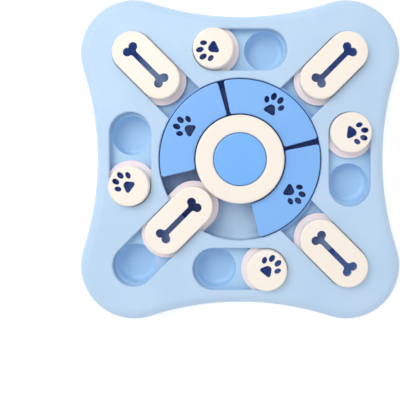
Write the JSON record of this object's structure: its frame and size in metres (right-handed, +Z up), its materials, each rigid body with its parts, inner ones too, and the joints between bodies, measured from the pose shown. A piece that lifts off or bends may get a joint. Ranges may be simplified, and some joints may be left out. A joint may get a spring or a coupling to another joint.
{
  "type": "dog puzzle feeder toy",
  "caption": "Lobed plastic puzzle feeder with food cups under sliding bone and paw knobs, a food ring under turning covers, and a squeaky middle button.",
  "frame": {"origin": "on the floor under the middle of the toy", "axes": "+Z up, +X to the right and +Y away from a user who stands at the picture's lower edge"},
  "size_m": [0.26, 0.26, 0.033],
  "materials": {
    "shell_plastic": "satin",
    "tray_plastic": "satin",
    "cover_plastic": "satin",
    "cream_plastic": "satin",
    "foot_rubber": "matte",
    "squeaker_rubber": "matte",
    "reed_plastic": "matte",
    "screw_steel": "plain"
  },
  "bodies": {
    "base": {"top_deck_right": "shell_plastic", "top_deck_top": "shell_plastic", "top_deck_left": "shell_plastic", "top_deck_bottom": "shell_plastic", "top_rim": "shell_plastic", "ring_pan": "tray_plastic", "ring_column": "tray_plastic", "cap_ring": "cream_plastic", "cap_screws": "screw_steel", "shell_screws": "screw_steel", "squeaker_reed": "reed_plastic", "squeaker_bulb": "squeaker_rubber", "side_channel_right": "shell_plastic", "side_channel_top": "shell_plastic", "side_channel_left": "shell_plastic", "side_channel_bottom": "shell_plastic", "bone_channel_tr": "shell_plastic", "bone_channel_tl": "shell_plastic", "bone_channel_bl": "shell_plastic", "bone_channel_br": "shell_plastic", "slot_floor_right": "tray_plastic", "slot_floor_top": "tray_plastic", "slot_floor_left": "tray_plastic", "slot_floor_bottom": "tray_plastic", "slot_floor_tr": "tray_plastic", "slot_floor_tl": "tray_plastic", "slot_floor_bl": "tray_plastic", "slot_floor_br": "tray_plastic", "side_cups_right": "tray_plastic", "side_cups_top": "tray_plastic", "side_cups_left": "tray_plastic", "side_cups_bottom": "tray_plastic", "bone_cup_tr": "tray_plastic", "bone_cup_tl": "tray_plastic", "bone_cup_bl": "tray_plastic", "bone_cup_br": "tray_plastic", "foot_tr": "foot_rubber", "foot_tl": "foot_rubber", "foot_bl": "foot_rubber", "foot_br": "foot_rubber"},
    "paw_slider_right": {"paw_knob_right": "cream_plastic", "paw_flange_right": "cream_plastic"},
    "paw_slider_top": {"paw_knob_top": "cream_plastic", "paw_flange_top": "cream_plastic"},
    "paw_slider_left": {"paw_knob_left": "cream_plastic", "paw_flange_left": "cream_plastic"},
    "paw_slider_bottom": {"paw_knob_bottom": "cream_plastic", "paw_flange_bottom": "cream_plastic"},
    "bone_slider_tr": {"bone_knob_tr": "cream_plastic", "bone_flange_tr": "cream_plastic"},
    "bone_slider_tl": {"bone_knob_tl": "cream_plastic", "bone_flange_tl": "cream_plastic"},
    "bone_slider_bl": {"bone_knob_bl": "cream_plastic", "bone_flange_bl": "cream_plastic"},
    "bone_slider_br": {"bone_knob_br": "cream_plastic", "bone_flange_br": "cream_plastic"},
    "cover_tl": {"cover_tl": "cover_plastic"},
    "cover_tr": {"cover_tr": "cover_plastic"},
    "cover_br": {"cover_br": "cover_plastic"},
    "squeak_button": {"squeak_button": "cover_plastic"}
  },
  "joints": [
    {"name": "paw_slide_right", "type": "slide", "parent": "base", "child": "paw_slider_right", "axis": [0, -1, 0], "range_m": [0, 0.0418]},
    {"name": "paw_slide_top", "type": "slide", "parent": "base", "child": "paw_slider_top", "axis": [1, 0, 0], "range_m": [0, 0.0418]},
    {"name": "paw_slide_left", "type": "slide", "parent": "base", "child": "paw_slider_left", "axis": [0, 1, 0], "range_m": [0, 0.0418]},
    {"name": "paw_slide_bottom", "type": "slide", "parent": "base", "child": "paw_slider_bottom", "axis": [-1, 0, 0], "range_m": [0, 0.0418]},
    {"name": "bone_slide_tr", "type": "slide", "parent": "base", "child": "bone_slider_tr", "axis": [-0.7071, -0.7071, 0], "range_m": [0, 0.0066]},
    {"name": "bone_slide_tl", "type": "slide", "parent": "base", "child": "bone_slider_tl", "axis": [0.7071, -0.7071, 0], "range_m": [0, 0.0066]},
    {"name": "bone_slide_bl", "type": "slide", "parent": "base", "child": "bone_slider_bl", "axis": [-0.7071, -0.7071, 0], "range_m": [0, 0.0364]},
    {"name": "bone_slide_br", "type": "slide", "parent": "base", "child": "bone_slider_br", "axis": [-0.7071, 0.7071, 0], "range_m": [0, 0.0066]},
    {"name": "cover_turn_tl", "type": "hinge", "parent": "base", "child": "cover_tl", "pos_m": [0, 0, 0.0225], "axis": [0, 0, 1], "range_deg": [-3.75, 13.8]},
    {"name": "cover_turn_tr", "type": "hinge", "parent": "base", "child": "cover_tr", "pos_m": [0, 0, 0.0225], "axis": [0, 0, 1], "range_deg": [-3.75, 3.75]},
    {"name": "cover_turn_br", "type": "hinge", "parent": "base", "child": "cover_br", "pos_m": [0, 0, 0.0225], "axis": [0, 0, 1], "range_deg": [-40.85, 3.75]},
    {"name": "button_press", "type": "slide", "parent": "base", "child": "squeak_button", "axis": [0, 0, -1], "range_m": [0, 0.003], "stiffness_N_per_m": 500, "deforming": ["squeaker_bulb"]}
  ]
}
